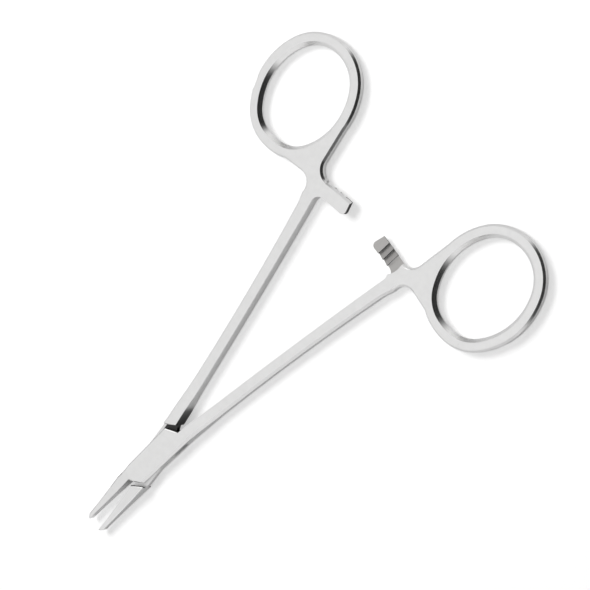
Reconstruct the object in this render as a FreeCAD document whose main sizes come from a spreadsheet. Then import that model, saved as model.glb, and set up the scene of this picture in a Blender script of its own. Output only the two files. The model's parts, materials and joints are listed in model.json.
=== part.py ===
"""Needle holder with a box lock, two finger rings and a ratchet.

Two forgings cross at the box lock. The female half has a window through its box, the male half
has a tongue that turns in it, and one pin holds them. Each half is drawn as it lies when the jaws
are shut: hinge axis at the origin, middle of the thickness at height zero, jaw towards -Y with its
gripping face on the plane x = 0, shank and ring towards +Y and +X. The male half is turned over
about the Y axis, so its ring lies at -X and its ratchet teeth face down.
"""
import FreeCAD, Part
import math
import os

import Sketcher

V = FreeCAD.Vector

doc = FreeCAD.newDocument("needle_holder")
sizes = doc.addObject("Spreadsheet::Sheet", "sizes")

DIMENSIONS = [
    # Thicknesses, all centred on the middle of the instrument
    ("box_thickness", 4.3),
    ("handle_thickness", 2.9),
    ("jaw_tip_thickness", 2.1),
    ("tongue_thickness", 1.5),
    ("sliding_clearance", 0.05),
    # Pose in which the instrument lies, each half turned this far from shut
    ("rest_half_angle", 4.3),
    # Box lock
    ("box_half_width", 3.1),
    ("box_end_inner", 9.4),
    ("box_end_outer", 7.2),
    ("cheek_jaw_end_inner", 9.3),
    ("cheek_jaw_end_outer", 6.7),
    ("shoulder_clearance", 0.12),
    ("tongue_flank_start", 2.0),
    ("window_length_inner", 9.7),
    ("window_length_outer", 7.4),
    ("window_corner", 0.1),
    ("cutter_reach", 4.65),
    ("pin_radius", 1.4),
    ("pin_running_clearance", 0.03),
    # Jaws
    ("jaw_length", 24.3),
    ("jaw_tip_width", 1.05),
    ("jaw_nose_length", 1.5),
    ("jaw_nose_flat", 0.25),
    ("jaw_nose_radius", 1.6),
    ("jaw_top_radius", 95.0),
    ("jaw_taper_start", 8.2),
    # Shanks
    ("shank_gap", 0.3),
    ("shank_root_width", 3.1),
    ("shank_end_setback", 7.05),
    ("shank_end_offset", 7.05),
    ("shank_end_width", 3.1),
    ("shank_inner_radius", 1650.0),
    ("shank_outer_radius", 690.0),
    ("shank_taper_start", 11.0),
    ("shank_taper_length", 11.0),
    # Ratchet bars, struck from the hinge axis
    ("bar_distance", 77.05),
    ("bar_width", 3.7),
    ("bar_tip_reach", 1.2),
    ("bar_tip_slant", 0.8),
    ("bar_halves_gap", 0.1),
    ("tooth_pitch", 1.8),
    ("tooth_depth", 0.65),
    ("first_tooth", 1.6),
    ("tooth_count", 3),
    ("step_cutter_radius", 4.7),
    ("step_reach", 8.05),
    # Finger rings
    ("ring_offset", 24.95),
    ("ring_setback", 13.0),
    ("opening_half_width", 10.75),
    ("opening_half_length", 12.95),
    ("opening_side_radius", 16.0),
    ("opening_end_radius", 13.5),
    ("opening_corner_radius", 8.6),
    ("ring_band", 2.45),
    ("neck_low_offset", 10.5),
    ("neck_high_offset", 11.75),
    ("ring_root_offset", 14.3),
    ("ring_root_setback", 0.7),
    ("ring_root_start_offset", 10.95),
    ("ring_root_start_setback", 4.3),
    ("ring_join_offset", 3.6),
    ("ring_join_depth", 1.45),
    # Edges
    ("handle_bevel_width", 0.5),
    ("opening_bevel_width", 0.2),
    ("wall_bevel_depth", 1.05),
    ("box_edge_radius", 0.35),
    ("box_end_bevel", 0.2),
    ("bar_tip_rounding", 1.1),
    ("bar_root_fillet", 1.9),
    ("neck_fillet", 3.6),
    ("ring_root_fillet", 3.2),
]
for row, (name, value) in enumerate(DIMENSIONS, start=1):
    sizes.set("A%d" % row, name)
    sizes.set("B%d" % row, str(value))
    sizes.setAlias("B%d" % row, name)
doc.recompute()


def size(name):
    """The present value of a named size."""
    return float(sizes.get(name))


def plane(body, role):
    """One of a body's own three origin planes."""
    return next(f for f in body.Origin.OriginFeatures if f.Role == role)


def new_body(label):
    body = doc.addObject("PartDesign::Body", label)
    body.Label = label
    return body


def new_sketch(body, name, role="XY_Plane"):
    sketch = body.newObject("Sketcher::SketchObject", name)
    sketch.AttachmentSupport = [(plane(body, role), "")]
    sketch.MapMode = "FlatFace"
    return sketch


def number(sketch, entry):
    """A coordinate as a number: it is given as one or as an expression on the sheet."""
    if isinstance(entry, str):
        return float(sketch.evalExpression(entry))
    return float(entry)


def pin_coordinate(sketch, kind, geometry, vertex, entry):
    """Fix one coordinate of a point, bound to the sheet where it is an expression."""
    value = number(sketch, entry)
    if abs(value) < 1e-9:
        axis = -2 if kind == "DistanceX" else -1
        sketch.addConstraint(Sketcher.Constraint("PointOnObject", geometry, vertex, axis))
        return
    index = sketch.addConstraint(Sketcher.Constraint(kind, -1, 1, geometry, vertex, value))
    if isinstance(entry, str):
        sketch.setExpression("Constraints[%d]" % index, entry)


def arc_between(start, end, radius):
    """The short arc from start to end; with a positive radius it bulges to the left of the way."""
    chord = end - start
    half = chord.Length / 2
    rise = math.sqrt(radius * radius - half * half)
    side = V(chord.y, -chord.x, 0).normalize()
    if radius < 0:
        side = side.negative()
    middle = (start + end) / 2
    crown = middle - side * (abs(radius) - rise)
    return Part.Arc(start, crown, end)


def draw(sketch, corners):
    """Add a closed outline to a sketch.

    A corner is (x, y), or (x, y, radius) where the side that starts there is an arc. A positive
    radius lets the side bulge to the left of the way.
    """
    points = [V(number(sketch, corner[0]), number(sketch, corner[1]), 0) for corner in corners]
    bends = {i: corner[2] for i, corner in enumerate(corners) if len(corner) == 3}
    first = sketch.GeometryCount
    starts = []
    for i, start in enumerate(points):
        end = points[(i + 1) % len(points)]
        if i not in bends:
            sketch.addGeometry(Part.LineSegment(start, end))
            starts.append((1, 2))
            continue
        geometry = sketch.addGeometry(arc_between(start, end, number(sketch, bends[i])))
        placed = sketch.getPoint(geometry, 1)
        starts.append((1, 2) if (placed - start).Length < 1e-6 else (2, 1))
    for i in range(len(points)):
        after = (i + 1) % len(points)
        sketch.addConstraint(Sketcher.Constraint(
            "Coincident", first + i, starts[i][1], first + after, starts[after][0]))
    for i, corner in enumerate(corners):
        pin_coordinate(sketch, "DistanceX", first + i, starts[i][0], corner[0])
        pin_coordinate(sketch, "DistanceY", first + i, starts[i][0], corner[1])
    for i, radius in bends.items():
        value = abs(number(sketch, radius))
        index = sketch.addConstraint(Sketcher.Constraint("Radius", first + i, value))
        if isinstance(radius, str):
            sketch.setExpression("Constraints[%d]" % index, "abs(%s)" % radius)


def pad(body, sketch, name, length):
    """Raise a sketch by half the length to each side of its plane."""
    feature = body.newObject("PartDesign::Pad", name)
    feature.Profile = sketch
    feature.SideType = "Symmetric"
    feature.setExpression("Length", length)
    doc.recompute()
    return feature


def pocket(body, sketch, name, length, symmetric=True, reversed_side=False):
    """Cut a sketch out of the body and make sure that something was cut."""
    before = body.Shape.Volume
    feature = body.newObject("PartDesign::Pocket", name)
    feature.Profile = sketch
    feature.SideType = "Symmetric" if symmetric else "One side"
    feature.Reversed = reversed_side
    feature.setExpression("Length", length)
    doc.recompute()
    if not body.Shape.Volume < before:
        raise RuntimeError("%s of %s cuts nothing" % (name, body.Label))
    return feature


def middle_of(edge):
    return edge.valueAt((edge.FirstParameter + edge.LastParameter) / 2)


def upright(edge):
    ends = [v.Point for v in edge.Vertexes]
    return len(ends) == 2 and abs(ends[0].x - ends[1].x) + abs(ends[0].y - ends[1].y) < 1e-6


def dress(body, kind, name, reach, chosen, depth=None):
    """Round or bevel the body's present edges that the test chooses.

    A bevel goes as far down the wall as across the flat face, unless it has a depth of its own.
    """
    base = body.Tip
    names = []
    wall_first = False
    for i, edge in enumerate(base.Shape.Edges, start=1):
        if chosen(edge):
            names.append("Edge%d" % i)
            first = base.Shape.ancestorsOfType(edge, Part.Face)[0]
            wall_first = abs(first.normalAt(0, 0).z) < math.sin(math.pi / 4)
    if not names:
        raise RuntimeError("%s of %s finds no edge" % (name, body.Label))
    feature = body.newObject("PartDesign::" + kind, name)
    feature.Base = (base, names)
    feature.setExpression("Radius" if kind == "Fillet" else "Size", reach)
    if depth:
        feature.ChamferType = "Two distances"
        feature.FlipDirection = wall_first
        feature.setExpression("Size2", depth)
    doc.recompute()
    if feature.Shape.isNull():
        raise RuntimeError("%s of %s fails" % (name, body.Label))
    return feature


def fillet(body, name, radius, chosen):
    return dress(body, "Fillet", name, radius, chosen)


def bevel(body, name, width, chosen, depth=None):
    return dress(body, "Chamfer", name, width, chosen, depth)


def fillet_upright(body, name, radius, place):
    """Round the one upright edge that is nearest to a place in plan."""
    best = min((e for e in body.Tip.Shape.Edges if upright(e)),
               key=lambda e: (V(middle_of(e).x, middle_of(e).y, 0) - place).Length)
    spot = middle_of(best)
    return fillet(body, name, radius,
                  lambda e: upright(e) and (V(middle_of(e).x, middle_of(e).y, 0)
                                            - V(spot.x, spot.y, 0)).Length < 1e-4)


# The jaw, from the tip of its gripping face round the nose to the outer root
JAW = [
    ("0", "-sizes.jaw_length"),
    ("-sizes.jaw_nose_flat", "-sizes.jaw_length", "sizes.jaw_nose_radius"),
    ("-sizes.jaw_tip_width", "-sizes.jaw_length + sizes.jaw_nose_length"),
    ("-sizes.box_half_width", "-sizes.cheek_jaw_end_outer"),
]

RING_MIDDLE = "sizes.bar_distance + sizes.ring_setback"

# The shank and the neck, from the inner root round the ring's side to the outer root
SHANK = [
    ("sizes.shank_gap / 2", "sizes.box_end_inner + sizes.shoulder_clearance", "sizes.shank_inner_radius"),
    ("sizes.shank_end_offset", "sizes.bar_distance - sizes.shank_end_setback"),
    ("sizes.shank_end_offset + sizes.bar_tip_slant", "sizes.bar_distance - sizes.bar_width / 2"),
    ("sizes.neck_low_offset", "sizes.bar_distance + sizes.bar_width / 2 - sizes.bar_tip_slant"),
    ("sizes.neck_high_offset", RING_MIDDLE),
    ("sizes.ring_offset - sizes.opening_half_width / 2", RING_MIDDLE),
    ("sizes.ring_offset - sizes.opening_half_width / 2", RING_MIDDLE + " - sizes.opening_half_length / 2"),
    ("sizes.ring_offset - sizes.ring_join_offset",
     RING_MIDDLE + " - sizes.opening_half_length - sizes.ring_join_depth"),
    ("sizes.ring_root_offset", "sizes.bar_distance - sizes.ring_root_setback",
     "-sizes.ring_root_fillet"),
    ("sizes.ring_root_start_offset", "sizes.bar_distance - sizes.ring_root_start_setback"),
    ("sizes.shank_end_offset + sizes.shank_end_width", "sizes.bar_distance - sizes.shank_end_setback",
     "-sizes.shank_outer_radius"),
    ("sizes.shank_gap / 2 + sizes.shank_root_width", "sizes.box_end_inner"),
]


def oval(grow):
    """Corners and arc radii of the ring's oval, blunter towards the jaws, grown on all sides."""
    half_width = size("opening_half_width") + grow
    half_length = size("opening_half_length") + grow
    side = size("opening_side_radius") + grow
    low_end = size("opening_end_radius") + grow
    corner = size("opening_corner_radius") + grow
    high_end = (2 * half_width * side - half_width ** 2 - half_length ** 2) / (2 * (side - half_length))
    middle = V(size("ring_offset"), size("bar_distance") + size("ring_setback"), 0)
    # Where the side arc meets the far end arc
    reach = V(side - half_width, half_length - high_end, 0).normalize()
    high = V(0, half_length - high_end, 0) + reach * high_end
    # The corner arc touches the side arc and the near end arc from inside
    side_centre = V(half_width - side, 0, 0)
    end_centre = V(0, low_end - half_length, 0)
    apart = (end_centre - side_centre).Length
    along = ((side - corner) ** 2 - (low_end - corner) ** 2 + apart ** 2) / (2 * apart)
    across = math.sqrt((side - corner) ** 2 - along ** 2)
    way = (end_centre - side_centre).normalize()
    corner_centre = side_centre + way * along + V(way.y, -way.x, 0) * across
    side_touch = side_centre + (corner_centre - side_centre).normalize() * side
    end_touch = end_centre + (corner_centre - end_centre).normalize() * low_end
    right = [V(half_width, 0, 0), high]
    left = [V(-high.x, high.y, 0), V(-half_width, 0, 0), V(-side_touch.x, side_touch.y, 0),
            V(-end_touch.x, end_touch.y, 0)]
    lower = [end_touch, side_touch]
    points = [middle + p for p in right + left + lower]
    radii = [side, high_end, side, side, corner, low_end, corner, side]
    return [(p.x, p.y, -radius) for p, radius in zip(points, radii)]


def build_half(label, jaw_side, ring_side):
    """The forging that both halves share; they differ at the two sides of the box.

    jaw_side leads from the jaw's outer root to the shank, ring_side from the shank to the jaw.
    """
    body = new_body(label)
    plan = new_sketch(body, "plan")
    draw(plan, JAW + jaw_side + SHANK + ring_side)
    pad(body, plan, "blank", "sizes.box_thickness")

    ring = new_sketch(body, "ring_outline")
    draw(ring, oval(size("ring_band")))
    pad(body, ring, "ring", "sizes.handle_thickness")

    bar = new_sketch(body, "bar_outline")
    draw_bar(bar)
    pad(body, bar, "ratchet_bar", "sizes.handle_thickness")

    profile = new_sketch(body, "side_profile", "YZ_Plane")
    draw_side_profile(profile)
    pocket(body, profile, "thinning", "4 * sizes.ring_offset")

    opening = new_sketch(body, "ring_opening")
    draw(opening, oval(0))
    pocket(body, opening, "finger_opening", "2 * sizes.box_thickness")
    return body


def draw_bar(sketch):
    """The ratchet bar: two arcs about the hinge axis, a slanted tip and a root in the neck."""
    low = size("bar_distance") - size("bar_width") / 2
    high = size("bar_distance") + size("bar_width") / 2
    reach = size("bar_tip_reach")
    inner_root = size("shank_end_offset") + size("bar_tip_slant")
    outer_root = size("neck_low_offset") + size("bar_tip_slant")
    tip_low = (-reach, math.sqrt(low ** 2 - reach ** 2))
    tip_high_x = size("bar_tip_slant") - reach
    tip_high = (tip_high_x, math.sqrt(high ** 2 - tip_high_x ** 2))
    root_low = (inner_root, math.sqrt(low ** 2 - inner_root ** 2))
    root_high = (outer_root, math.sqrt(high ** 2 - outer_root ** 2))
    draw(sketch, [
        tip_high,
        tip_low + ("sizes.bar_distance - sizes.bar_width / 2",),
        root_low,
        root_high + ("-(sizes.bar_distance + sizes.bar_width / 2)",),
    ])


def draw_side_profile(sketch):
    """What is taken off above and below: the handle to its thickness, the jaw to its taper."""
    start = size("shank_taper_start")
    length = size("shank_taper_length")
    box = size("box_thickness") / 2
    handle = size("handle_thickness") / 2
    drop = box - handle
    far = size("bar_distance") + size("ring_setback") + 2 * size("opening_half_length")
    clear = size("box_thickness")
    # Two equal arcs make the slope, level where they meet the box and the handle
    slope_radius = (length ** 2 / 4 + drop ** 2 / 4) / drop
    tip = size("jaw_tip_thickness") / 2
    nose = size("jaw_length")
    beyond = nose + size("jaw_nose_length")
    jaw_start = size("jaw_taper_start")
    for up in (1, -1):
        draw(sketch, [
            (start, up * box, up * slope_radius),
            (start + length / 2, up * (box - drop / 2), -up * slope_radius),
            (start + length, up * handle),
            (far, up * handle),
            (far, up * clear),
            (start, up * clear),
        ])
        draw(sketch, [
            (-jaw_start, up * box, up * size("jaw_top_radius")),
            (-nose, up * tip),
            (-beyond, up * tip),
            (-beyond, up * clear),
            (-jaw_start, up * clear),
        ])


def lift(sketch, height):
    """Move a sketch off its origin plane to a height bound to the sheet."""
    sketch.setExpression("AttachmentOffset.Base.z", height)
    return sketch


def mill_ratchet(body):
    """Take the upper half off the bar and cut the teeth into what is left."""
    middle_radius = size("bar_distance")
    cutter = size("step_cutter_radius")
    low = middle_radius - cutter
    high = middle_radius + cutter
    centre = size("step_reach") - cutter
    free = -2 * size("bar_tip_reach")
    step = lift(new_sketch(body, "step_plan"), "-sizes.bar_halves_gap / 2")
    draw(step, [
        (free, low),
        (centre, low, "-sizes.step_cutter_radius"),
        (centre + cutter, middle_radius, "-sizes.step_cutter_radius"),
        (centre, high),
        (free, high),
    ])
    pocket(body, step, "bar_step", "sizes.handle_thickness", symmetric=False, reversed_side=True)

    # Each tooth rises away from the tip and falls steeply on the ring's side
    teeth = new_sketch(body, "tooth_profile", "XZ_Plane")
    crest = -size("bar_halves_gap") / 2
    root = crest - size("tooth_depth")
    over = size("handle_thickness")
    last = int(size("tooth_count")) - 1
    for i in range(last):
        x = size("first_tooth") + i * size("tooth_pitch")
        after = x + size("tooth_pitch")
        draw(teeth, [(x, crest), (x, root), (after, crest), (after, over), (x, over)])
    lift(teeth, "-sizes.bar_distance")
    pocket(body, teeth, "teeth", "2 * sizes.step_cutter_radius")

    # Behind the last tooth the floor runs level to the curved step
    floor_start = size("first_tooth") + last * size("tooth_pitch")
    floor = lift(new_sketch(body, "floor_plan"), "-sizes.bar_halves_gap / 2 - sizes.tooth_depth")
    chord = math.sqrt(cutter ** 2 - (floor_start - centre) ** 2)
    draw(floor, [
        (floor_start, middle_radius - chord, "-sizes.step_cutter_radius"),
        (centre + cutter, middle_radius, "-sizes.step_cutter_radius"),
        (floor_start, middle_radius + chord),
    ])
    pocket(body, floor, "tooth_floor", "sizes.handle_thickness", symmetric=False, reversed_side=True)


def round_corners(body):
    """The forged fillets in plan where the bar meets the shank and the neck, and the bar's tip."""
    inner_corner = V(size("shank_end_offset"), size("bar_distance") - size("bar_width") / 2, 0)
    neck_corner = V(size("neck_low_offset"), size("bar_distance") + size("bar_width") / 2, 0)
    tip_corner = V(-size("bar_tip_reach"), size("bar_distance") - size("bar_width") / 2, 0)
    fillet_upright(body, "neck_rounding", "sizes.neck_fillet", neck_corner)
    fillet_upright(body, "bar_root_rounding", "sizes.bar_root_fillet", inner_corner)
    fillet_upright(body, "bar_tip_corner", "sizes.bar_tip_rounding", tip_corner)


def level(edge, height):
    """True for an edge that lies at a height above or below the middle plane."""
    spots = [v.Point for v in edge.Vertexes] + [middle_of(edge)]
    return all(abs(abs(spot.z) - height) < 1e-4 for spot in spots)


def ease_edges(body):
    """Let the walls of the handle and its opening swell, and round the box and the jaw."""
    handle = size("handle_thickness") / 2
    box = size("box_thickness") / 2
    low = size("box_end_inner")
    high = size("bar_distance") - size("shank_end_setback")
    low_middle = (size("shank_gap") + size("shank_root_width")) / 2
    high_middle = size("shank_end_offset") + size("shank_end_width") / 2
    ring = V(size("ring_offset"), size("bar_distance") + size("ring_setback"), 0)
    half_band = size("ring_band") / 2

    def inside_band(spot):
        across = (spot.x - ring.x) / (size("opening_half_width") + half_band)
        along = (spot.y - ring.y) / (size("opening_half_length") + half_band)
        return math.hypot(across, along) < 1

    def at_outer_side(edge):
        spot = middle_of(edge)
        if not level(edge, handle) or inside_band(spot):
            return False
        if spot.y > size("bar_distance") - size("bar_width") / 2:
            return spot.x > size("neck_low_offset") - size("neck_fillet") / 2
        share = (spot.y - low) / (high - low)
        return spot.x > low_middle + share * (high_middle - low_middle)

    def at_opening(edge):
        return level(edge, handle) and inside_band(middle_of(edge))

    for name, side in (("upper", 1), ("lower", -1)):
        bevel(body, name + "_opening_edges", "sizes.opening_bevel_width",
              lambda e: at_opening(e) and middle_of(e).z * side > 0, "sizes.wall_bevel_depth")
        bevel(body, name + "_handle_edges", "sizes.handle_bevel_width",
              lambda e: at_outer_side(e) and middle_of(e).z * side > 0, "sizes.wall_bevel_depth")
    start = -size("jaw_taper_start") - size("box_edge_radius")
    least = size("jaw_tip_thickness") / 2 - size("box_edge_radius")

    def at_flank(edge):
        spot = middle_of(edge)
        if not level(edge, box) or abs(spot.y) > size("box_end_inner"):
            return False
        return abs(spot.x) > size("box_half_width") - size("box_edge_radius")

    def along_taper(edge):
        spot = middle_of(edge)
        if upright(edge) or spot.y > start or spot.x > -size("jaw_nose_flat"):
            return False
        return all(abs(v.Point.z) > least for v in edge.Vertexes)

    fillet(body, "box_and_jaw_edges", "sizes.box_edge_radius", lambda e: at_flank(e) or along_taper(e))


def bevel_end(body, name, inner, outer):
    """Break the upper and lower edge of an end face that stands on a slanted line in plan."""
    way = (outer - inner).normalize()
    aside = V(way.y, -way.x, 0)
    least = size("tongue_thickness") / 2 + size("box_end_bevel")

    def on_end(edge):
        spots = [v.Point for v in edge.Vertexes] + [middle_of(edge)]
        off = max(abs((spot - inner).dot(aside)) for spot in spots)
        return off < 1e-4 and min(abs(spot.z) for spot in spots) > least

    bevel(body, name, "sizes.box_end_bevel", on_end)


def bore(body, radius):
    """The hole for the pin, on the hinge axis."""
    sketch = new_sketch(body, "bore_outline")
    circle = sketch.addGeometry(Part.Circle(V(0, 0, 0), V(0, 0, 1), number(sketch, radius)))
    sketch.addConstraint(Sketcher.Constraint("Coincident", circle, 3, -1, 1))
    index = sketch.addConstraint(Sketcher.Constraint("Radius", circle, number(sketch, radius)))
    sketch.setExpression("Constraints[%d]" % index, radius)
    return sketch


def make_female():
    """Box half: two cheeks with a window between them for the tongue."""
    jaw_side = [
        ("-sizes.box_half_width", "sizes.box_end_outer"),
        ("sizes.shank_gap / 2", "sizes.box_end_inner"),
    ]
    ring_side = [
        ("sizes.box_half_width", "-sizes.cheek_jaw_end_outer"),
        ("0", "-sizes.cheek_jaw_end_inner"),
    ]
    body = build_half("female_half", jaw_side, ring_side)
    round_corners(body)
    ease_edges(body)
    mill_ratchet(body)

    window = new_sketch(body, "window_plan")
    past = "sizes.cutter_reach"
    draw(window, [
        ("-" + past, "sizes.window_length_inner"),
        ("sizes.window_corner", "sizes.window_length_inner"),
        (past, "sizes.window_length_outer"),
        (past, "-sizes.window_length_inner"),
        ("-sizes.window_corner", "-sizes.window_length_inner"),
        ("-" + past, "-sizes.window_length_outer"),
    ])
    pocket(body, window, "window", "sizes.tongue_thickness + 2 * sizes.sliding_clearance")
    half_width = size("box_half_width")
    bevel_end(body, "cheek_shank_end", V(size("shank_gap") / 2, size("box_end_inner"), 0),
              V(-half_width, size("box_end_outer"), 0))
    bevel_end(body, "cheek_jaw_end", V(0, -size("cheek_jaw_end_inner"), 0),
              V(half_width, -size("cheek_jaw_end_outer"), 0))
    pocket(body, bore(body, "sizes.pin_radius"), "pin_bore", "2 * sizes.box_thickness")
    turn = FreeCAD.Rotation(V(0, 0, 1), -size("rest_half_angle"))
    body.Placement = FreeCAD.Placement(V(0, 0, size("box_thickness") / 2), turn)
    return body


def make_male():
    """Tongue half: the box stretch is thinned to a tongue between two slanted shoulders."""
    jaw_side = [
        ("-sizes.box_half_width", "sizes.tongue_flank_start"),
    ]
    ring_side = [
        ("sizes.box_half_width", "-sizes.tongue_flank_start"),
        ("0", "-sizes.box_end_inner"),
    ]
    body = build_half("male_half", jaw_side, ring_side)
    round_corners(body)
    ease_edges(body)
    mill_ratchet(body)

    slope = ("(sizes.box_end_inner - sizes.box_end_outer)"
             " / (sizes.box_half_width + sizes.shank_gap / 2)")
    past = "sizes.cutter_reach"
    level = "sizes.box_end_inner + sizes.shoulder_clearance + %s * sizes.shank_gap / 2" % slope
    near = "%s - %s * %s" % (level, past, slope)
    far = "%s + %s * %s" % (level, past, slope)
    for name, direction in (("upper", 1), ("lower", -1)):
        shoulders = lift(new_sketch(body, name + "_shoulders"),
                         "%d * sizes.tongue_thickness / 2" % direction)
        draw(shoulders, [
            ("-" + past, far),
            (past, near),
            (past, "-(%s)" % far),
            ("-" + past, "-(%s)" % near),
        ])
        pocket(body, shoulders, name + "_tongue_face", "sizes.box_thickness", symmetric=False,
               reversed_side=direction > 0)
    half_width = size("box_half_width")
    inner = number(shoulders, level)
    drop = number(shoulders, slope) * half_width
    bevel_end(body, "shank_shoulder", V(0, inner, 0), V(half_width, inner - drop, 0))
    bevel_end(body, "jaw_shoulder", V(0, -inner, 0), V(-half_width, drop - inner, 0))
    pocket(body, bore(body, "sizes.pin_radius + sizes.pin_running_clearance"), "pin_bore",
           "2 * sizes.box_thickness")
    turn = FreeCAD.Rotation(V(0, 0, 1), size("rest_half_angle"))
    over = FreeCAD.Rotation(V(0, 1, 0), 180)
    body.Placement = FreeCAD.Placement(V(0, 0, size("box_thickness") / 2), turn.multiply(over))
    return body


def make_pin():
    """Plain pin, flush with both cheeks."""
    body = new_body("box_lock_pin")
    pad(body, bore(body, "sizes.pin_radius"), "pin", "sizes.box_thickness")
    body.Placement = FreeCAD.Placement(V(0, 0, size("box_thickness") / 2), FreeCAD.Rotation())
    return body


pieces = [make_female(), make_male(), make_pin()]
doc.recompute()

for item in doc.Objects:
    if "Invalid" in item.State or "Error" in item.State:
        raise RuntimeError("%s is %s" % (item.Name, item.State))
for body in pieces:
    if body.Shape.isNull() or not body.Shape.isValid() or len(body.Shape.Solids) != 1:
        raise RuntimeError("%s is no sound solid" % body.Label)

os.makedirs("parts", exist_ok=True)
for body in pieces:
    body.Shape.exportStep("parts/%s.step" % body.Label)
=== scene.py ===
"""Looks of a surgical needle holder: ground stainless steel, lying on a white table.

The two halves are copies of the model's own solids. Their walls are rounded and their edges eased, the
slit at the shanks is opened, and the box tapers towards the jaws. The pin is its own solid.
"""
import json
from math import cos, radians, sin

import bmesh
import bpy
from mathutils import Matrix, Vector


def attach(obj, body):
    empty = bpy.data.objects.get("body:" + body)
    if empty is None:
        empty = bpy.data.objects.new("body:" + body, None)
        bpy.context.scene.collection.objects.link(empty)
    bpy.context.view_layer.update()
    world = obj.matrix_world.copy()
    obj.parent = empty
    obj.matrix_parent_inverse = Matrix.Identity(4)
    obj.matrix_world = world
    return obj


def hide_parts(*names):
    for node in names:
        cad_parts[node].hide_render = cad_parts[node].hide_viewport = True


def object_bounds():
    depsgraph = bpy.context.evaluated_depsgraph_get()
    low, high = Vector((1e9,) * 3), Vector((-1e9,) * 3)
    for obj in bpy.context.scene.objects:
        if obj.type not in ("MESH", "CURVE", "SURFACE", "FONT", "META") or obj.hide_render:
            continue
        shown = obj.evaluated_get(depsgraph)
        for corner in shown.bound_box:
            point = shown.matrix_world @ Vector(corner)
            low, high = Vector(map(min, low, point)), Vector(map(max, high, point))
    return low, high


bl_info = {
    "name": "Needle holder looks",
    "version": (1, 0, 0),
    "blender": (4, 5, 0),
    "location": "3D View > Sidebar > Needle holder",
    "description": "Dresses a needle holder in ground stainless steel and sets its table and light",
    "category": "Object",
}

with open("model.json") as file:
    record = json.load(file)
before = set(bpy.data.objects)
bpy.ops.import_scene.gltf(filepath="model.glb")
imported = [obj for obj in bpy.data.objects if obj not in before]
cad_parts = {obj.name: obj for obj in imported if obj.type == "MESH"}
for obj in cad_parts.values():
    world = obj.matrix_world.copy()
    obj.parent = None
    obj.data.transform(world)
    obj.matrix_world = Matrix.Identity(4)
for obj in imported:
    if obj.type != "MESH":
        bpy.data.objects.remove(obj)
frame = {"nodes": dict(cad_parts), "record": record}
CAD_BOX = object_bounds()

MM = 0.001
MIDDLE = (CAD_BOX[0][2] + CAD_BOX[1][2]) / 2
HALVES = ("female_half", "male_half")
BOX_HALF = "female_half"
PIN = "box_lock_pin"
# The last of these is painted shade. It is near black, for the slits, the teeth's steep faces and the upper
# bar's tip.
FINISHES = ("ground_steel", "milled_steel", "slit_steel")

# Corners of a copy that are nearer than this are joined, and so are faces that turn by less, in radians.
JOIN_DISTANCE = 0.002 * MM
JOIN_TURN = 0.002

# How far a face looks up or down, from 0 for a wall to 1 for a level face.
LEVEL = 0.9
END_FACE = 0.5
TOOTH_FLANK = 0.25
WALL = 0.1

# How far the end of a cheek or a shoulder looks along the instrument, and the bar's tip across it.
ALONG = 0.6
ACROSS = 0.9

# How much of an edge's length may rise before it no longer runs along a wall, or is upright.
RISING_EDGE = 0.5
UPRIGHT_EDGE = 0.9


def body_of_node(node):
    """Name of the CAD body that carries a node."""
    bodies = frame["record"]["behaviour"]["bodies"]
    return next(name for name, nodes in bodies.items() if node in nodes)


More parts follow.
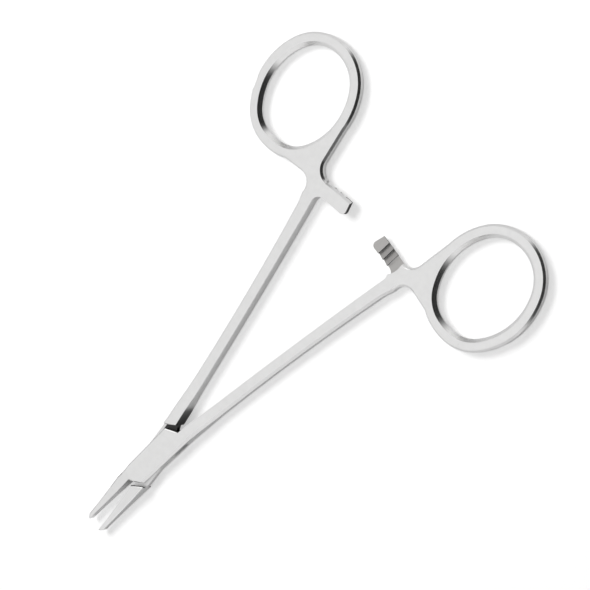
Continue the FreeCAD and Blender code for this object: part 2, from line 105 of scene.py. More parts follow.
class NeedleSteelSettings(bpy.types.PropertyGroup):
    """Colour and finish of the steel."""

    base_color: bpy.props.FloatVectorProperty(
        name="Steel colour", description="Colour of the bare steel", subtype="COLOR", size=3,
        min=0.0, max=1.0, default=(0.785, 0.783, 0.78))
    satin_roughness: bpy.props.FloatProperty(
        name="Satin roughness", description="Roughness of the ground faces", min=0.0, max=1.0, default=0.3)
    wall_roughness_share: bpy.props.FloatProperty(
        name="Wall roughness", description="Roughness of the polished walls, as a share of the flat faces'",
        min=0.0, max=1.0, default=0.5)
    wall_to_flat: bpy.props.FloatVectorProperty(
        name="Wall to flat", description="How far up a face looks where the wall's polish ends", size=2,
        default=(0.8, 0.97))
    milled_color: bpy.props.FloatVectorProperty(
        name="Milled colour", description="Colour of the ratchets' milled faces", subtype="COLOR",
        size=3, min=0.0, max=1.0, default=(0.5, 0.49, 0.48))
    milled_roughness: bpy.props.FloatProperty(
        name="Milled roughness", description="Roughness of milled and hidden faces", min=0.0, max=1.0,
        default=0.5)
    # Painted shade: faces inside the box lock, the ratchet teeth's steep faces and the upper bar's tip are
    # painted near black where shade and dark reflections fall.
    slit_shade_color: bpy.props.FloatVectorProperty(
        name="Slit colour", description="Colour of the shade_painted faces inside the lock and the teeth",
        subtype="COLOR", size=3, min=0.0, max=1.0, default=(0.07, 0.07, 0.07))
    slit_side: bpy.props.FloatProperty(
        name="Slit side", description="How far from the middle line the slits are dark",
        unit="LENGTH", default=2.3 * MM)
    slit_lean: bpy.props.FloatProperty(
        name="Slit lean", description="How much wider they are for each step from the hinge",
        default=0.1)
    slit_fade: bpy.props.FloatProperty(
        name="Slit fade", description="Width over which their dark ends", unit="LENGTH",
        default=0.15 * MM)
    flat_play: bpy.props.FloatProperty(
        name="Flat play", description="How far the upward share of a flat face's normal may be off",
        default=0.15)
    # Painted shade: the walls where shanks and jaws run together at the box are darkened towards black in
    # their colour, where shade and dark reflections fall.
    crotch_shade_color: bpy.props.FloatVectorProperty(
        name="Painted_shade colour", description="Colour of the tarnish where the shanks run together",
        subtype="COLOR", size=3, min=0.0, max=1.0, default=(0.02, 0.02, 0.02))
    crotch_shade_start: bpy.props.FloatProperty(
        name="Painted_shade start", description="Distance from the hinge up to which it is full",
        unit="LENGTH", default=9.0 * MM)
    crotch_shade_end: bpy.props.FloatProperty(
        name="Painted_shade end", description="Distance from the hinge where it ends", unit="LENGTH",
        default=26.0 * MM)
    crotch_shade_on_jaws: bpy.props.FloatProperty(
        name="Painted_shade on jaws", description="How much sooner it ends on the jaws than on the shanks",
        default=1.7)
    crotch_shade_side: bpy.props.FloatProperty(
        name="Painted_shade side", description="How far from the middle line it reaches", unit="LENGTH",
        default=1.9 * MM)
    crotch_shade_side_full: bpy.props.FloatProperty(
        name="Painted_shade side full", description="Share of that distance up to which it is full",
        min=0.0, max=1.0, default=0.8)
    crotch_shade_slope: bpy.props.FloatVectorProperty(
        name="Painted_shade slope", description="How far up a face looks where the tarnish thins and ends",
        size=2, default=(0.3, 0.5))
    mottle_color: bpy.props.FloatVectorProperty(
        name="Colour mottle", description="Least and most share of its colour in the mottle", size=2,
        default=(0.93, 1.05))
    mottle_roughness: bpy.props.FloatVectorProperty(
        name="Roughness mottle", description="Least and most share of its roughness in the mottle",
        size=2, default=(0.8, 1.25))
    mottle_scale: bpy.props.FloatProperty(
        name="Mottle scale", description="Blotches in a metre", default=650.0)
    mottle_detail: bpy.props.FloatProperty(
        name="Mottle detail", description="Finer layers in the mottle", default=4.0)
    grain_depth: bpy.props.FloatProperty(
        name="Grain depth", description="Height of the grinding marks", unit="LENGTH", default=0.004 * MM)
    grain_length: bpy.props.FloatProperty(
        name="Grain length", description="Length of a grinding mark", unit="LENGTH", default=3.0 * MM)
    grain_width: bpy.props.FloatProperty(
        name="Grain width", description="Width of a grinding mark", unit="LENGTH", default=0.12 * MM)
    grain_detail: bpy.props.FloatProperty(
        name="Grain detail", description="Finer layers in the grinding marks", default=3.0)


class NeedleEdgeSettings(bpy.types.PropertyGroup):
    """Where the halves' features lie, and how their walls and edges are shaped."""

    round_share: bpy.props.FloatProperty(
        name="Rounding share", description="Depth of the outer walls' rounding, as a share of the bevel's",
        min=0.0, max=1.0, default=0.6)
    brink_turn: bpy.props.FloatProperty(
        name="Brink turn", description="Turn between the flat face and the solid's bevel",
        subtype="ANGLE", default=radians(64.5))
    brink_play: bpy.props.FloatProperty(
        name="Brink play", description="How far the brink's turn may be off", subtype="ANGLE",
        default=radians(3.5))
    brink_reach: bpy.props.FloatProperty(
        name="Brink reach", description="Farthest that the flat face's edge lies from its ridge, in plan",
        unit="LENGTH", default=0.8 * MM)
    brink_height_share: bpy.props.FloatProperty(
        name="Brink height", description="How much a difference in height counts in finding that edge",
        default=0.25)
    bevel_play: bpy.props.FloatProperty(
        name="Bevel play", description="How far the upward share of a bevel's normal may be off",
        default=0.07)
    opening_from: bpy.props.FloatProperty(
        name="Openings from", description="Distance from the hinge beyond which the openings lie",
        unit="LENGTH", default=70.0 * MM)
    opening_round_depth: bpy.props.FloatProperty(
        name="Opening depth", description="How far down the openings' wall its rounding goes",
        unit="LENGTH", default=1.05 * MM)
    opening_swell: bpy.props.FloatProperty(
        name="Opening swell", description="How far the openings' wall swells inwards", unit="LENGTH",
        default=0.65 * MM)
    lip_turn: bpy.props.FloatProperty(
        name="Opening turn", description="Turn between the bevel and the wall of an opening",
        subtype="ANGLE", default=radians(10.8))
    lip_play: bpy.props.FloatProperty(
        name="Opening play", description="How far an opening edge's turn may be off", subtype="ANGLE",
        default=radians(1.75))
    wall_half: bpy.props.FloatProperty(
        name="Wall", description="Most that half the height of an opening's upright wall may be",
        unit="LENGTH", default=0.45 * MM)
    handle_half: bpy.props.FloatProperty(
        name="Handle", description="Half the thickness of the handle", unit="LENGTH",
        default=1.45 * MM)
    cheek_end: bpy.props.FloatVectorProperty(
        name="Cheek ends", description="Nearest and farthest that the cheeks' ends lie from the hinge",
        size=2, unit="LENGTH", default=(6.0 * MM, 10.2 * MM))
    cheek_from: bpy.props.FloatProperty(
        name="Cheek level", description="Height from the middle at which the cheeks begin",
        unit="LENGTH", default=0.78 * MM)
    cheek_right: bpy.props.FloatProperty(
        name="Cheek side", description="How far right the cheeks' ends reach", unit="LENGTH",
        default=1.6 * MM)
    cheek_draw: bpy.props.FloatProperty(
        name="Slit", description="How far the cheeks' ends are drawn back", unit="LENGTH",
        default=0.6 * MM)
    corner_span: bpy.props.FloatVectorProperty(
        name="Box corner", description="Distances from the hinge that its corner at the jaws lies in",
        size=2, unit="LENGTH", default=(5.0 * MM, 10.5 * MM))
    corner_from: bpy.props.FloatProperty(
        name="Box corner side", description="Distance of the box's outer wall from the middle line",
        unit="LENGTH", default=2.6 * MM)
    corner_trim: bpy.props.FloatProperty(
        name="Box taper", description="How far the box's outer wall draws in towards the jaws",
        unit="LENGTH", default=0.42 * MM)
    tooth_reach: bpy.props.FloatProperty(
        name="Teeth", description="Height from the middle that the ratchet's teeth take up",
        unit="LENGTH", default=0.8 * MM)
    tooth_width: bpy.props.FloatProperty(
        name="Tooth crest", description="Width of the rounding on each tooth", unit="LENGTH",
        default=0.3 * MM)
    bar_root: bpy.props.FloatProperty(
        name="Bar root", description="Distance of the ratchet bars' roots from the middle line",
        unit="LENGTH", default=11.3 * MM)
    bar_tip: bpy.props.FloatProperty(
        name="Bar tip", description="Distance of the upper bar's tip face from the middle line",
        unit="LENGTH", default=5.25 * MM)
    bar_tip_play: bpy.props.FloatProperty(
        name="Bar tip play", description="How far the tip face may lie from there", unit="LENGTH",
        default=0.5 * MM)
    lock_reach: bpy.props.FloatProperty(
        name="Lock", description="Distance from the hinge that the box lock takes up",
        unit="LENGTH", default=10.8 * MM)
    tongue_half: bpy.props.FloatProperty(
        name="Tongue", description="Half the height of the window in the box", unit="LENGTH",
        default=0.82 * MM)
    soft_width: bpy.props.FloatProperty(
        name="Rounded edge", description="Width of the rounding where the forged walls swell",
        unit="LENGTH", default=0.3 * MM)
    lip_width: bpy.props.FloatProperty(
        name="Opening edge", description="Width of the rounding round the finger openings",
        unit="LENGTH", default=0.12 * MM)
    crisp_width: bpy.props.FloatProperty(
        name="Ground edge", description="Width of the bevel on each ground edge", unit="LENGTH",
        default=0.06 * MM)
    soft_segments: bpy.props.IntProperty(
        name="Segments", description="Faces across an eased edge", default=3, min=1, max=6)
    soft_angle: bpy.props.FloatProperty(
        name="Rounded from", description="Edges that turn by more than this are rounded",
        subtype="ANGLE", default=radians(17))
    lip_angle: bpy.props.FloatProperty(
        name="Opening edge from", description="Edges that turn by more than this are opening edges",
        subtype="ANGLE", default=radians(72))
    crisp_angle: bpy.props.FloatProperty(
        name="Ground from", description="Edges that turn by more than this are ground edges",
        subtype="ANGLE", default=radians(84))
    sharp_angle: bpy.props.FloatProperty(
        name="Corner from", description="Inner corners that turn by more than this stay sharp",
        subtype="ANGLE", default=radians(30))
    flat_weight: bpy.props.IntProperty(
        name="Flat weight", description="How much the large faces lead the shading", default=60,
        min=1, max=100)


class NeedleStageSettings(bpy.types.PropertyGroup):
    """Table, lights and camera."""

    camera_place: bpy.props.FloatVectorProperty(
        name="Camera place", description="Where the camera stands", subtype="TRANSLATION", size=3,
        default=(176.6 * MM, 230.8 * MM, 502.7 * MM))
    camera_aim: bpy.props.FloatVectorProperty(
        name="Camera aim", description="Point in the middle of the picture", subtype="TRANSLATION", size=3,
        default=(-0.53 * MM, 53.65 * MM, 3.6 * MM))
    camera_lens: bpy.props.FloatProperty(
        name="Lens", description="Focal length on a 36 mm frame", default=147.0)
    camera_near: bpy.props.FloatProperty(
        name="Near limit", description="Nearest that the camera sees", unit="LENGTH", default=0.01)
    table_color: bpy.props.FloatVectorProperty(
        name="Table colour", description="Colour of the table and backdrop", subtype="COLOR", size=3,
        min=0.0, max=1.0, default=(0.9, 0.9, 0.9))
    table_half: bpy.props.FloatProperty(
        name="Table size", description="Half the side of the table", unit="LENGTH", default=3.0)
    table_gap: bpy.props.FloatProperty(
        name="Table gap", description="How far the table lies under the object", unit="LENGTH",
        default=0.02 * MM)
    table_glow: bpy.props.FloatProperty(
        name="Table whiteness", description="Light that only the camera sees on the table", default=0.46)
    mirrored_glow: bpy.props.FloatProperty(
        name="Mirrored whiteness", description="Light that only the steel sees on the table",
        default=0.16)
    key_offset: bpy.props.FloatVectorProperty(
        name="Key place", description="Where the key light stands, from the point aimed at",
        subtype="TRANSLATION", size=3, default=(-0.33, 0.03, 0.61))
    key_size: bpy.props.FloatProperty(
        name="Key size", description="Side of the key light", unit="LENGTH", default=0.3)
    key_power: bpy.props.FloatProperty(
        name="Key light", description="Power of the soft light at the upper left", unit="POWER",
        default=2.2)
    fill_offset: bpy.props.FloatVectorProperty(
        name="Fill place", description="Where the fill light stands, from the point aimed at",
        subtype="TRANSLATION", size=3, default=(0.15, 0.2, 0.9))
    fill_size: bpy.props.FloatProperty(
        name="Fill size", description="Side of the fill light", unit="LENGTH", default=0.9)
    fill_power: bpy.props.FloatProperty(
        name="Fill light", description="Power of the soft light overhead", unit="POWER", default=0.3)
    room_level: bpy.props.FloatProperty(
        name="Room light", description="Level of the light from all round", default=0.95)
    matt_share: bpy.props.FloatProperty(
        name="Room light on matt", description="Share of the room's light that falls on the table",
        default=0.3)
    dark_level: bpy.props.FloatProperty(
        name="Dark side", description="Level of the room's dark side", default=0.03)
    dark_side_from: bpy.props.FloatProperty(
        name="Dark side from", description="Cosine from the right where the dark side begins",
        default=0.4)
    dark_side_full: bpy.props.FloatProperty(
        name="Dark side full", description="Cosine from the right where it is fully dark",
        default=0.75)
    dark_height_full: bpy.props.FloatProperty(
        name="Dark up to", description="Sine of the height up to which it is fully dark", default=0.6)
    dark_height_end: bpy.props.FloatProperty(
        name="Dark ends at", description="Sine of the height where the dark side ends", default=0.85)
    far_level: bpy.props.FloatProperty(
        name="Far side", description="Level of the room's far side, low down", default=0.25)
    far_from: bpy.props.FloatProperty(
        name="Far side from", description="Cosine to the far side where it begins", default=0.35)
    far_full: bpy.props.FloatProperty(
        name="Far side full", description="Cosine to the far side where it is full", default=0.75)
    far_height_full: bpy.props.FloatProperty(
        name="Far side up to", description="Sine of the height up to which the far side is full",
        default=0.3)
    far_height_end: bpy.props.FloatProperty(
        name="Far side height", description="Sine of the height where the far side ends", default=0.6)
    window_turn: bpy.props.FloatProperty(
        name="Window", description="Where the bright window lies, turned back from the left",
        subtype="ANGLE", default=radians(28))
    window_from: bpy.props.FloatProperty(
        name="Window edge", description="Cosine from the window's middle where it begins", default=0.86)
    window_level: bpy.props.FloatProperty(
        name="Window level", description="How much brighter than the room the window is", default=0.6)


def feed(tree, socket, value):
    """Set a socket to a value, or link another node's socket to it."""
    if isinstance(value, bpy.types.NodeSocket):
        tree.links.new(value, socket)
    else:
        socket.default_value = value


def figure(tree, operation, *values):
    """Result of a Math node."""
    node = tree.nodes.new("ShaderNodeMath")
    node.operation = operation
    for socket, value in zip(node.inputs, values):
        feed(tree, socket, value)
    return node.outputs[0]


def ramp(tree, value, start, end, low=0.0, high=1.0, kind="SMOOTHSTEP"):
    """A value that goes from low to high while another goes from start to end."""
    node = tree.nodes.new("ShaderNodeMapRange")
    node.interpolation_type = kind
    limits = (("Value", value), ("From Min", start), ("From Max", end), ("To Min", low), ("To Max", high))
    for name, limit in limits:
        feed(tree, node.inputs[name], limit)
    return node.outputs[0]


def mixed(tree, share, first, second, kind="FLOAT"):
    """Two values or colours, mixed."""
    node = tree.nodes.new("ShaderNodeMix")
    node.data_type = kind
    for name, value in (("Factor", share), ("A", first), ("B", second)):
        feed(tree, node.inputs[name], value)
    return node.outputs["Result"]


def coordinate(tree, kind):
    """X, Y and Z of a texture coordinate."""
    place = tree.nodes.new("ShaderNodeTexCoord")
    apart = tree.nodes.new("ShaderNodeSeparateXYZ")
    tree.links.new(place.outputs[kind], apart.inputs[0])
    return apart.outputs["X"], apart.outputs["Y"], apart.outputs["Z"]


def levelness(tree):
    """How far a face looks up or down, from 0 to 1."""
    return figure(tree, "ABSOLUTE", coordinate(tree, "Normal")[2])


def new_material(name):
    """An empty node material."""
    material = bpy.data.materials.new(name)
    material.use_nodes = True
    material.node_tree.nodes.clear()
    return material


def grain_group(settings):
    """Shader group: fine marks along Y as a height, and a soft mottle."""
    group = bpy.data.node_groups.new("grinding_marks", "ShaderNodeTree")
    for name, way in (("Length", "INPUT"), ("Width", "INPUT"), ("Height", "OUTPUT"), ("Mottle", "OUTPUT")):
        group.interface.new_socket(name=name, in_out=way, socket_type="NodeSocketFloat")
    nodes = group.nodes
    links = group.links
    entry = nodes.new("NodeGroupInput")
    leave = nodes.new("NodeGroupOutput")
    place = nodes.new("ShaderNodeTexCoord")
    per_length = figure(group, "DIVIDE", 1.0, entry.outputs["Length"])
    per_width = figure(group, "DIVIDE", 1.0, entry.outputs["Width"])
    stretch = nodes.new("ShaderNodeCombineXYZ")
    for name, value in (("X", per_width), ("Y", per_length), ("Z", per_width)):
        links.new(value, stretch.inputs[name])
    scaled = nodes.new("ShaderNodeVectorMath")
    scaled.operation = "MULTIPLY"
    links.new(place.outputs["Object"], scaled.inputs[0])
    links.new(stretch.outputs[0], scaled.inputs[1])
    patterns = ((scaled.outputs[0], 1.0, settings.grain_detail, "Height"),
                (place.outputs["Object"], settings.mottle_scale, settings.mottle_detail, "Mottle"))
    for vector, scale, detail, name in patterns:
        noise = nodes.new("ShaderNodeTexNoise")
        noise.inputs["Scale"].default_value = scale
        noise.inputs["Detail"].default_value = detail
        links.new(vector, noise.inputs["Vector"])
        links.new(noise.outputs["Fac"], leave.inputs[name])
    return group


def painted_shade(tree, settings):
    """Mask of the painted shade on the walls where shanks and jaws run together at the box, full near the
    hinge.
    """
    across, along, _ = coordinate(tree, "Object")
    on_jaws = figure(tree, "MULTIPLY", along, -settings.crotch_shade_on_jaws)
    distance = figure(tree, "ABSOLUTE", figure(tree, "MAXIMUM", along, on_jaws))
    near_box = ramp(tree, distance, settings.crotch_shade_start, settings.crotch_shade_end, 1.0, 0.0)
    side = settings.crotch_shade_side
    inner = ramp(tree, figure(tree, "ABSOLUTE", across), side * settings.crotch_shade_side_full, side, 1.0, 0.0)
    wall = ramp(tree, levelness(tree), *settings.crotch_shade_slope, 1.0, 0.0)
    return figure(tree, "MULTIPLY", figure(tree, "MULTIPLY", near_box, inner), wall)


def outside_slits(tree, settings):
    """Mask of the tongue's flat faces outside the slits, which keep the bright steel colour instead of the
    painted shade.
    """
    across, along, _ = coordinate(tree, "Object")
    side = figure(tree, "MULTIPLY_ADD", figure(tree, "ABSOLUTE", along), -settings.slit_lean,
                  figure(tree, "ABSOLUTE", across))
    start = settings.slit_side
    outside = ramp(tree, side, start, start + settings.slit_fade, kind="LINEAR")
    at_jaws = figure(tree, "LESS_THAN", along, 0.0)
    bright = figure(tree, "MAXIMUM", outside, at_jaws)
    flat = figure(tree, "COMPARE", levelness(tree), 1.0, settings.flat_play)
    return figure(tree, "MULTIPLY", bright, flat)


def steel_material(name, group, settings, color, roughness):
    """Steel with the marks of its grinding or milling. The ground steel has shade painted in where the
    shanks run together, and the slits' steel is painted shade.
    """
    tree = new_material(name).node_tree
    nodes = tree.nodes
    links = tree.links
    out = nodes.new("ShaderNodeOutputMaterial")
    shader = nodes.new("ShaderNodeBsdfPrincipled")
    shader.inputs["Metallic"].default_value = 1.0
    links.new(shader.outputs[0], out.inputs["Surface"])
    grain = nodes.new("ShaderNodeGroup")
    grain.node_tree = group
    grain.inputs["Length"].default_value = settings.grain_length
    grain.inputs["Width"].default_value = settings.grain_width
    mottle = grain.outputs["Mottle"]
    darker, lighter = ([min(value * share, 1.0) for value in color] for share in settings.mottle_color)
    finish = mixed(tree, mottle, (*darker, 1.0), (*lighter, 1.0), "RGBA")
    least, most = settings.mottle_roughness
    dullness = ramp(tree, mottle, 0.0, 1.0, roughness * least, roughness * most, "LINEAR")
    if name == "ground_steel":
        # Painted shade: the colour goes near black on the walls where shanks and jaws run together at the
        # box.
        finish = mixed(tree, painted_shade(tree, settings), finish, (*settings.crotch_shade_color, 1.0), "RGBA")
        polish = ramp(tree, levelness(tree), *settings.wall_to_flat, settings.wall_roughness_share)
        dullness = figure(tree, "MULTIPLY", dullness, polish)
    # Painted shade: near black inside the slits and on the teeth, with the tongue's flat faces outside the
    # slits kept bright.
    elif name == "slit_steel":
        finish = mixed(tree, outside_slits(tree, settings), finish, (*settings.base_color, 1.0), "RGBA")
    links.new(finish, shader.inputs["Base Color"])
    links.new(dullness, shader.inputs["Roughness"])
    bump = nodes.new("ShaderNodeBump")
    bump.inputs["Distance"].default_value = settings.grain_depth
    links.new(grain.outputs["Height"], bump.inputs["Height"])
    links.new(bump.outputs[0], shader.inputs["Normal"])


def merged_copy(node, name):
    """A copy of a CAD node with its loose triangles joined and its flat faces made whole."""
    source = frame["nodes"][node]
    mesh = source.data.copy()
    mesh.name = name
    mesh.materials.clear()
    shape = bmesh.new()
    shape.from_mesh(mesh)
    bmesh.ops.remove_doubles(shape, verts=shape.verts, dist=JOIN_DISTANCE)
    bmesh.ops.dissolve_limit(shape, angle_limit=JOIN_TURN, verts=shape.verts, edges=shape.edges)
    shape.to_mesh(mesh)
    shape.free()
    copy = bpy.data.objects.new(name, mesh)
    bpy.context.scene.collection.objects.link(copy)
    return copy


def on_bar(spot, edges):
    """Whether a point lies on a ratchet bar."""
    return spot.y > edges.opening_from and abs(spot.x) < edges.bar_root


def wall_edges(shape, edges):
    """Corners on the flat faces' brinks, and those on the edges of the openings' upright walls."""
    brink = {}
    lip = {}
    for edge in shape.edges:
        if len(edge.link_faces) != 2 or not edge.is_convex:
            continue
        way = edge.verts[1].co - edge.verts[0].co
        if abs(way.z) > RISING_EDGE * way.length:
            continue
        turn = edge.calc_face_angle(0.0)
        corners = dict.fromkeys(edge.verts)
        if abs(turn - edges.brink_turn) < edges.brink_play:
            brink.update(corners)
        elif abs(turn - edges.lip_turn) < edges.lip_play:
            low = min(vertex.co.y for vertex in corners)
            height = max(abs(vertex.co.z - MIDDLE) for vertex in corners)
            if low > edges.opening_from and height < edges.wall_half:
                lip.update(corners)
    return brink, lip


def brink_distance(spot, place, edges):
    """Distance in plan between a point of the brink and another, with a share for their heights."""
    return (spot.xy - place.xy).length + abs(spot.z - place.z) * edges.brink_height_share


def lifted_ridge(shape, brink, edges):
    """New heights of the bevels' lower corners: nearer the brink, which makes the walls rounder."""
    spots = [vertex.co.copy() for vertex in brink]
    heights = {}
    for face in shape.faces:
        if abs(abs(face.normal.z) - cos(edges.brink_turn)) > edges.bevel_play:
            continue
        for vertex in face.verts:
            place = vertex.co
            on_flat = any(abs(other.normal.z) > LEVEL for other in vertex.link_faces)
            if vertex in brink or vertex in heights or on_flat or on_bar(place, edges):
                continue
            near = min(spots, key=lambda spot: brink_distance(spot, place, edges))
            if (near.xy - place.xy).length < edges.brink_reach:
                heights[vertex] = near.z + (place.z - near.z) * edges.round_share
    return heights


def swell_walls(mesh, edges):
    """Round the handle's walls: lift the outer ridge, and let the openings' wall swell inwards."""
    shape = bmesh.new()
    shape.from_mesh(mesh)
    shape.normal_update()
    brink, lip = wall_edges(shape, edges)
    heights = lifted_ridge(shape, brink, edges)
    depth = edges.handle_half - edges.opening_round_depth
    places = {}
    for vertex in lip:
        out = Vector((vertex.normal.x, vertex.normal.y)).normalized()
        side = 1.0 if vertex.co.z > MIDDLE else -1.0
        places[vertex] = (*(vertex.co.xy + out * edges.opening_swell), MIDDLE + side * depth)
    for vertex, height in heights.items():
        vertex.co.z = height
    for vertex, place in places.items():
        vertex.co = place
    shape.to_mesh(mesh)
    shape.free()


def trim_box(mesh, edges):
    """Open the slit at the shanks, and taper the box's outer wall towards the jaws."""
    cheek_start, cheek_stop = edges.cheek_end
    corner_start, corner_stop = edges.corner_span
    for vertex in mesh.vertices:
        spot = vertex.co
        at_end = cheek_start < spot.y < cheek_stop and spot.x < edges.cheek_right
        if at_end and abs(spot.z - MIDDLE) > edges.cheek_from:
            spot.y -= edges.cheek_draw
        if corner_start < -spot.y < corner_stop and spot.x < -edges.corner_from:
            spot.x += edges.corner_trim


def finish_of(face, mesh, edges):
    """Name of the finish that a face of a half has. The slits, the teeth's steep faces and the upper bar's
    tip get the painted shade.
    """
    box_side = mesh.name.startswith(BOX_HALF)
    levels = [mesh.vertices[index].co.z - MIDDLE for index in face.vertices]
    reach = max(abs(level) for level in levels)
    up = abs(face.normal.z)
    if face.center.y > edges.opening_from:
        if reach < edges.tooth_reach and up > TOOTH_FLANK:
            return "milled_steel"
        if reach < edges.tooth_reach and min(levels) * max(levels) > 0:
            return "slit_steel"
        at_tip = abs(face.center.x + edges.bar_tip) < edges.bar_tip_play
        if not box_side and up < WALL and at_tip and face.normal.x > ACROSS:
            return "slit_steel"
    elif abs(face.center.y) < edges.lock_reach:
        end = up < END_FACE and abs(face.normal.y) > ALONG
        cheek_bevel = box_side and up > WALL
        inside = reach < edges.tongue_half and (box_side or up > LEVEL)
        if inside or (end and not cheek_bevel):
            return "slit_steel"
    return "ground_steel"


def weigh_edges(mesh, edges):
    """Give each outer edge its share of the rounding, and mark the inner corners sharp."""
    shape = bmesh.new()
    shape.from_mesh(mesh)
    weight = shape.edges.layers.float.new("bevel_weight_edge")
    for edge in shape.edges:
        if len(edge.link_faces) != 2:
            continue
        turn = edge.calc_face_angle(0.0)
        way = edge.verts[1].co - edge.verts[0].co
        upright = abs(way.z) > UPRIGHT_EDGE * way.length
        bar = on_bar(edge.verts[0].co, edges)
        tooth = bar and any(face.material_index for face in edge.link_faces)
        if not edge.is_convex:
            edge.smooth = turn < edges.sharp_angle
        elif bar and turn < edges.sharp_angle:
            continue
        elif tooth and turn > edges.lip_angle and not upright:
            edge[weight] = edges.tooth_width / edges.soft_width
        elif turn > edges.crisp_angle:
            edge[weight] = edges.crisp_width / edges.soft_width
        elif turn > edges.lip_angle:
            edge[weight] = edges.lip_width / edges.soft_width
        elif turn > (edges.sharp_angle if upright else edges.soft_angle):
            edge[weight] = 1.0
    shape.to_mesh(mesh)
    shape.free()


def bake(piece):
    """Turn an object with modifiers into a plain mesh."""
    evaluated = piece.evaluated_get(bpy.context.evaluated_depsgraph_get())
    mesh = bpy.data.meshes.new_from_object(evaluated)
    piece.modifiers.clear()
    piece.data = mesh


class NEEDLE_OT_halves(bpy.types.Operator):
    """Round the walls and edges of the two forgings and give them their finish and their painted shade"""

    bl_idname = "needle.halves"
    bl_label = "Halves"

    def execute(self, context):
        edges = context.scene.needle_edges
        for node in HALVES:
            piece = merged_copy(node, node + "_ground")
            for name in FINISHES:
                piece.data.materials.append(bpy.data.materials[name])
            swell_walls(piece.data, edges)
            if node == BOX_HALF:
                trim_box(piece.data, edges)
            for face in piece.data.polygons:
                face.material_index = FINISHES.index(finish_of(face, piece.data, edges))
                face.use_smooth = True
            weigh_edges(piece.data, edges)
            rounding = piece.modifiers.new("rounding", "BEVEL")
            rounding.width = edges.soft_width
            rounding.segments = edges.soft_segments
            rounding.limit_method = "WEIGHT"
            rounding.miter_outer = "MITER_ARC"
            rounding.use_clamp_overlap = True
            rounding.material = FINISHES.index("ground_steel")
            flatness = piece.modifiers.new("flatness", "WEIGHTED_NORMAL")
            flatness.mode = "FACE_AREA"
            flatness.weight = edges.flat_weight
            flatness.keep_sharp = True
            bake(piece)
            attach(piece, body_of_node(node))
            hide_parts(node)
        return {"FINISHED"}


class NEEDLE_OT_pin(bpy.types.Operator):
    """Give the flush pin its finish"""

    bl_idname = "needle.pin"
    bl_label = "Pin"

    def execute(self, context):
        pin = frame["nodes"][PIN]
        pin.data.materials.clear()
        pin.data.materials.append(bpy.data.materials["ground_steel"])
        return {"FINISHED"}


class NEEDLE_OT_steel(bpy.types.Operator):
    """Make the steel"""

    bl_idname = "needle.steel"
    bl_label = "Steel"

    def execute(self, context):
        settings = context.scene.needle_steel
        group = grain_group(settings)
        colors = (settings.base_color, settings.milled_color, settings.slit_shade_color)
        roughnesses = (settings.satin_roughness, settings.milled_roughness, settings.milled_roughness)
        for name, color, roughness in zip(FINISHES, colors, roughnesses):
            steel_material(name, group, settings, color, roughness)
        return {"FINISHED"}


def area_light(name, place, aim, side, power):
    """A soft square lamp that looks at a point."""
    lamp = bpy.data.lights.new(name, "AREA")
    lamp.shape = "RECTANGLE"
    lamp.size = side
    lamp.size_y = side
    lamp.energy = power
    holder = bpy.data.objects.new(name, lamp)
    holder.location = place
    holder.rotation_euler = (aim - place).to_track_quat("-Z", "Y").to_euler()
    bpy.context.scene.collection.objects.link(holder)
    return holder


def facing(tree, way):
    """Cosine between the direction looked in and a given one."""
    place = tree.nodes.new("ShaderNodeTexCoord")
    product = tree.nodes.new("ShaderNodeVectorMath")
    product.operation = "DOT_PRODUCT"
    product.inputs[1].default_value = way
    tree.links.new(place.outputs["Generated"], product.inputs[0])
    return product.outputs["Value"]


def white_room(settings):
    """World: a white room with a dark side, a dim far side and a bright window, white to the camera."""
    world = bpy.data.worlds.new("white_room")
    world.use_nodes = True
    bpy.context.scene.world = world
    tree = world.node_tree
    tree.nodes.clear()
    right = facing(tree, Vector((1.0, 1.0, 0.0)).normalized())
    height = coordinate(tree, "Generated")[2]
    dark = figure(tree, "MULTIPLY", ramp(tree, right, settings.dark_side_from, settings.dark_side_full),
                  ramp(tree, height, settings.dark_height_full, settings.dark_height_end, 1.0, 0.0))
    room = mixed(tree, dark, settings.room_level, settings.dark_level)
    far = figure(tree, "MULTIPLY", ramp(tree, right, -settings.far_from, -settings.far_full),
                 ramp(tree, height, settings.far_height_full, settings.far_height_end, 1.0, 0.0))
    walls = mixed(tree, far, room, settings.far_level)
    toward_window = facing(tree, (-cos(settings.window_turn), sin(settings.window_turn), 0.0))
    window = ramp(tree, toward_window, settings.window_from, 1.0, 0.0, settings.window_level)
    path = tree.nodes.new("ShaderNodeLightPath")
    share = mixed(tree, path.outputs["Is Diffuse Ray"], 1.0, settings.matt_share)
    level = figure(tree, "MULTIPLY", figure(tree, "ADD", walls, window), share)
    background = tree.nodes.new("ShaderNodeBackground")
    background.inputs["Color"].default_value = (1.0, 1.0, 1.0, 1.0)
    tree.links.new(mixed(tree, path.outputs["Is Camera Ray"], level, 1.0), background.inputs["Strength"])
    out = tree.nodes.new("ShaderNodeOutputWorld")
    tree.links.new(background.outputs[0], out.inputs["Surface"])


def table_material(settings):
    """Matt white that stays white to the camera where no shadow falls."""
    material = new_material("white_table")
    tree = material.node_tree
    matt = tree.nodes.new("ShaderNodeBsdfDiffuse")
    matt.inputs["Color"].default_value = (*settings.table_color, 1.0)
    glow = tree.nodes.new("ShaderNodeEmission")
    path = tree.nodes.new("ShaderNodeLightPath")
    mirrored = figure(tree, "MULTIPLY", path.outputs["Is Glossy Ray"], settings.mirrored_glow)
    level = figure(tree, "MULTIPLY_ADD", path.outputs["Is Camera Ray"], settings.table_glow, mirrored)
    tree.links.new(level, glow.inputs["Strength"])
    both = tree.nodes.new("ShaderNodeAddShader")
    tree.links.new(matt.outputs[0], both.inputs[0])
    tree.links.new(glow.outputs[0], both.inputs[1])
    out = tree.nodes.new("ShaderNodeOutputMaterial")
    tree.links.new(both.outputs[0], out.inputs["Surface"])
    return material


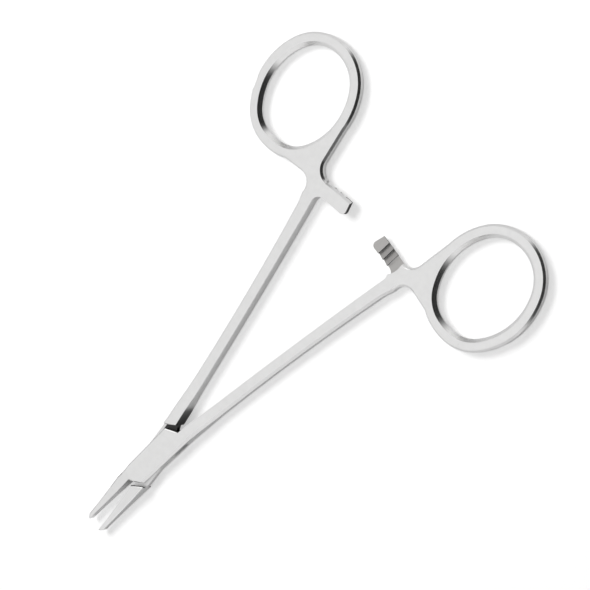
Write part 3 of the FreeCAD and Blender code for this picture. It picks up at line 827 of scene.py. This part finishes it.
def make_table(settings):
    """The table, just under the object."""
    mesh = bpy.data.meshes.new("table")
    half = settings.table_half
    low = CAD_BOX[0][2] - settings.table_gap
    corners = [(-half, -half, low), (half, -half, low), (half, half, low), (-half, half, low)]
    mesh.from_pydata(corners, [], [(0, 1, 2, 3)])
    mesh.materials.append(table_material(settings))
    table = bpy.data.objects.new("table", mesh)
    bpy.context.scene.collection.objects.link(table)


def make_camera(settings):
    """The camera, which looks at the aim with the jaws to the lower left."""
    lens = bpy.data.cameras.new("camera")
    lens.lens = settings.camera_lens
    lens.clip_start = settings.camera_near
    camera = bpy.data.objects.new("camera", lens)
    place = Vector(settings.camera_place)
    back = (place - Vector(settings.camera_aim)).normalized()
    right = Vector((-1.0, 1.0, 0.0)).normalized().cross(back).normalized()
    turn = Matrix((right, back.cross(right), back)).transposed().to_4x4()
    camera.matrix_world = Matrix.Translation(place) @ turn
    bpy.context.scene.collection.objects.link(camera)
    bpy.context.scene.camera = camera


class NEEDLE_OT_stage(bpy.types.Operator):
    """Set the table, the lights and the camera"""

    bl_idname = "needle.stage"
    bl_label = "Stage"

    def execute(self, context):
        settings = context.scene.needle_stage
        make_table(settings)
        aim = Vector(settings.camera_aim)
        key = area_light("key_light", aim + Vector(settings.key_offset), aim, settings.key_size,
                         settings.key_power)
        area_light("overhead_light", aim + Vector(settings.fill_offset), aim, settings.fill_size,
                   settings.fill_power)
        key.visible_glossy = False
        white_room(settings)
        make_camera(settings)
        context.scene.view_settings.view_transform = "Standard"
        return {"FINISHED"}


class NEEDLE_PT_panel(bpy.types.Panel):
    """Sizes and colours of the needle holder's looks"""

    bl_idname = "NEEDLE_PT_panel"
    bl_label = "Needle holder"
    bl_space_type = "VIEW_3D"
    bl_region_type = "UI"
    bl_category = "Needle holder"

    def draw(self, context):
        for name in ("needle_steel", "needle_edges", "needle_stage"):
            settings = getattr(context.scene, name)
            for key in type(settings).__annotations__:
                self.layout.prop(settings, key)
        for operator in (NEEDLE_OT_steel, NEEDLE_OT_halves, NEEDLE_OT_pin, NEEDLE_OT_stage):
            self.layout.operator(operator.bl_idname)


CLASSES = (NeedleSteelSettings, NeedleEdgeSettings, NeedleStageSettings, NEEDLE_OT_steel, NEEDLE_OT_halves,
           NEEDLE_OT_pin, NEEDLE_OT_stage, NEEDLE_PT_panel)


def register():
    """Register the classes and hang their settings on the scene."""
    for cls in CLASSES:
        bpy.utils.register_class(cls)
    bpy.types.Scene.needle_steel = bpy.props.PointerProperty(type=NeedleSteelSettings)
    bpy.types.Scene.needle_edges = bpy.props.PointerProperty(type=NeedleEdgeSettings)
    bpy.types.Scene.needle_stage = bpy.props.PointerProperty(type=NeedleStageSettings)


def unregister():
    """Take the settings and the classes away again."""
    del bpy.types.Scene.needle_stage
    del bpy.types.Scene.needle_edges
    del bpy.types.Scene.needle_steel
    for cls in reversed(CLASSES):
        bpy.utils.unregister_class(cls)


def main():
    """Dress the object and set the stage."""
    register()
    bpy.ops.needle.steel()
    bpy.ops.needle.halves()
    bpy.ops.needle.pin()
    bpy.ops.needle.stage()


if __name__ == "__main__":
    main()
